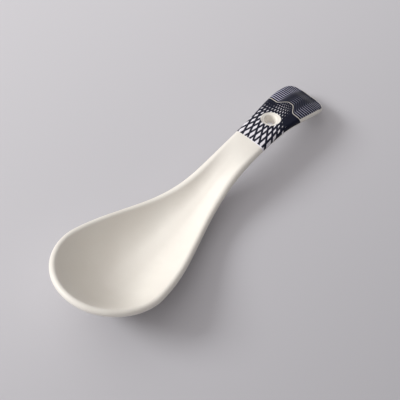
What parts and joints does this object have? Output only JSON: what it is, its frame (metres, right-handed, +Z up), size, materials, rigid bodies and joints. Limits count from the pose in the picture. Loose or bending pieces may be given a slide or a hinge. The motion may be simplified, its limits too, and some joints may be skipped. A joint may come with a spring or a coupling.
{
  "type": "chinese soup spoon",
  "caption": "Glazed ceramic soup spoon, lying tipped back on its flat foot: teardrop bowl, arched handle with a hanging hole and a navy net and wave print at its end.",
  "frame": {"origin": "centre of the flat bare foot, on the surface that the spoon rests on", "axes": "+X from the bowl along the handle to its end, +Z up out of the bowl, +Y to the left of the handle seen from the bowl"},
  "size_m": [0.1375, 0.045, 0.026],
  "materials": {
    "bare_clay": "matte, fired, fine grained",
    "white_glaze": "glossy warm white glaze",
    "navy_print": "navy net and comb-wave print under gloss"
  },
  "bodies": {
    "root": {"clay_body": "bare_clay", "glaze_coat": "white_glaze", "handle_print": "navy_print"}
  },
  "joints": []
}
